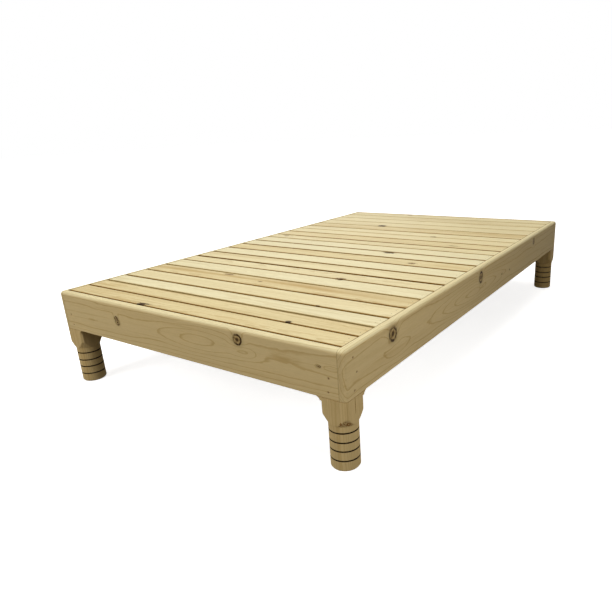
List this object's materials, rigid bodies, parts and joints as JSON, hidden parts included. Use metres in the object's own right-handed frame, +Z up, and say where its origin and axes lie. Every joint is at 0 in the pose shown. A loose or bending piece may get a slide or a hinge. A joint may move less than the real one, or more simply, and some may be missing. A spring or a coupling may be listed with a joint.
{
  "type": "slatted pine bed base",
  "caption": "Low bed base in solid pine: boards laid close across a rounded rail frame on short turned corner legs with burned grooves.",
  "frame": {"origin": "centre of the bed's outline on the floor, level with the undersides of the feet", "axes": "+Z up, +Y along the length of the bed, away from the end that is nearest in the picture, +X across the width"},
  "size_m": [1.2, 1.9, 0.335],
  "materials": {
    "pale_pine": "planed and sanded, clear satin",
    "rail_pine": "planed and sanded, clear satin",
    "turned_pine": "turned and sanded, clear satin, with burned grooves",
    "sawn_pine": "planed, unfinished",
    "dark_screw_steel": "dull zinc, darkened"
  },
  "bodies": {
    "root": {"bearer_screws": "dark_screw_steel", "centre_bearer": "sawn_pine", "end_ledger_back": "sawn_pine", "end_ledger_front": "sawn_pine", "end_rail_back": "rail_pine", "end_rail_front": "rail_pine", "ledger_screws": "dark_screw_steel", "leg_back_left": "turned_pine", "leg_back_right": "turned_pine", "leg_front_left": "turned_pine", "leg_front_right": "turned_pine", "rail_screws": "dark_screw_steel", "side_ledger_left": "sawn_pine", "side_ledger_right": "sawn_pine", "side_rail_left": "rail_pine", "side_rail_right": "rail_pine", "slat_01": "pale_pine", "slat_02": "pale_pine", "slat_03": "pale_pine", "slat_04": "pale_pine", "slat_05": "pale_pine", "slat_06": "pale_pine", "slat_07": "pale_pine", "slat_08": "pale_pine", "slat_09": "pale_pine", "slat_10": "pale_pine", "slat_11": "pale_pine", "slat_12": "pale_pine", "slat_13": "pale_pine", "slat_14": "pale_pine", "slat_15": "pale_pine", "slat_16": "pale_pine", "slat_17": "pale_pine", "slat_18": "pale_pine", "slat_19": "pale_pine", "slat_20": "pale_pine", "slat_21": "pale_pine"}
  },
  "joints": []
}
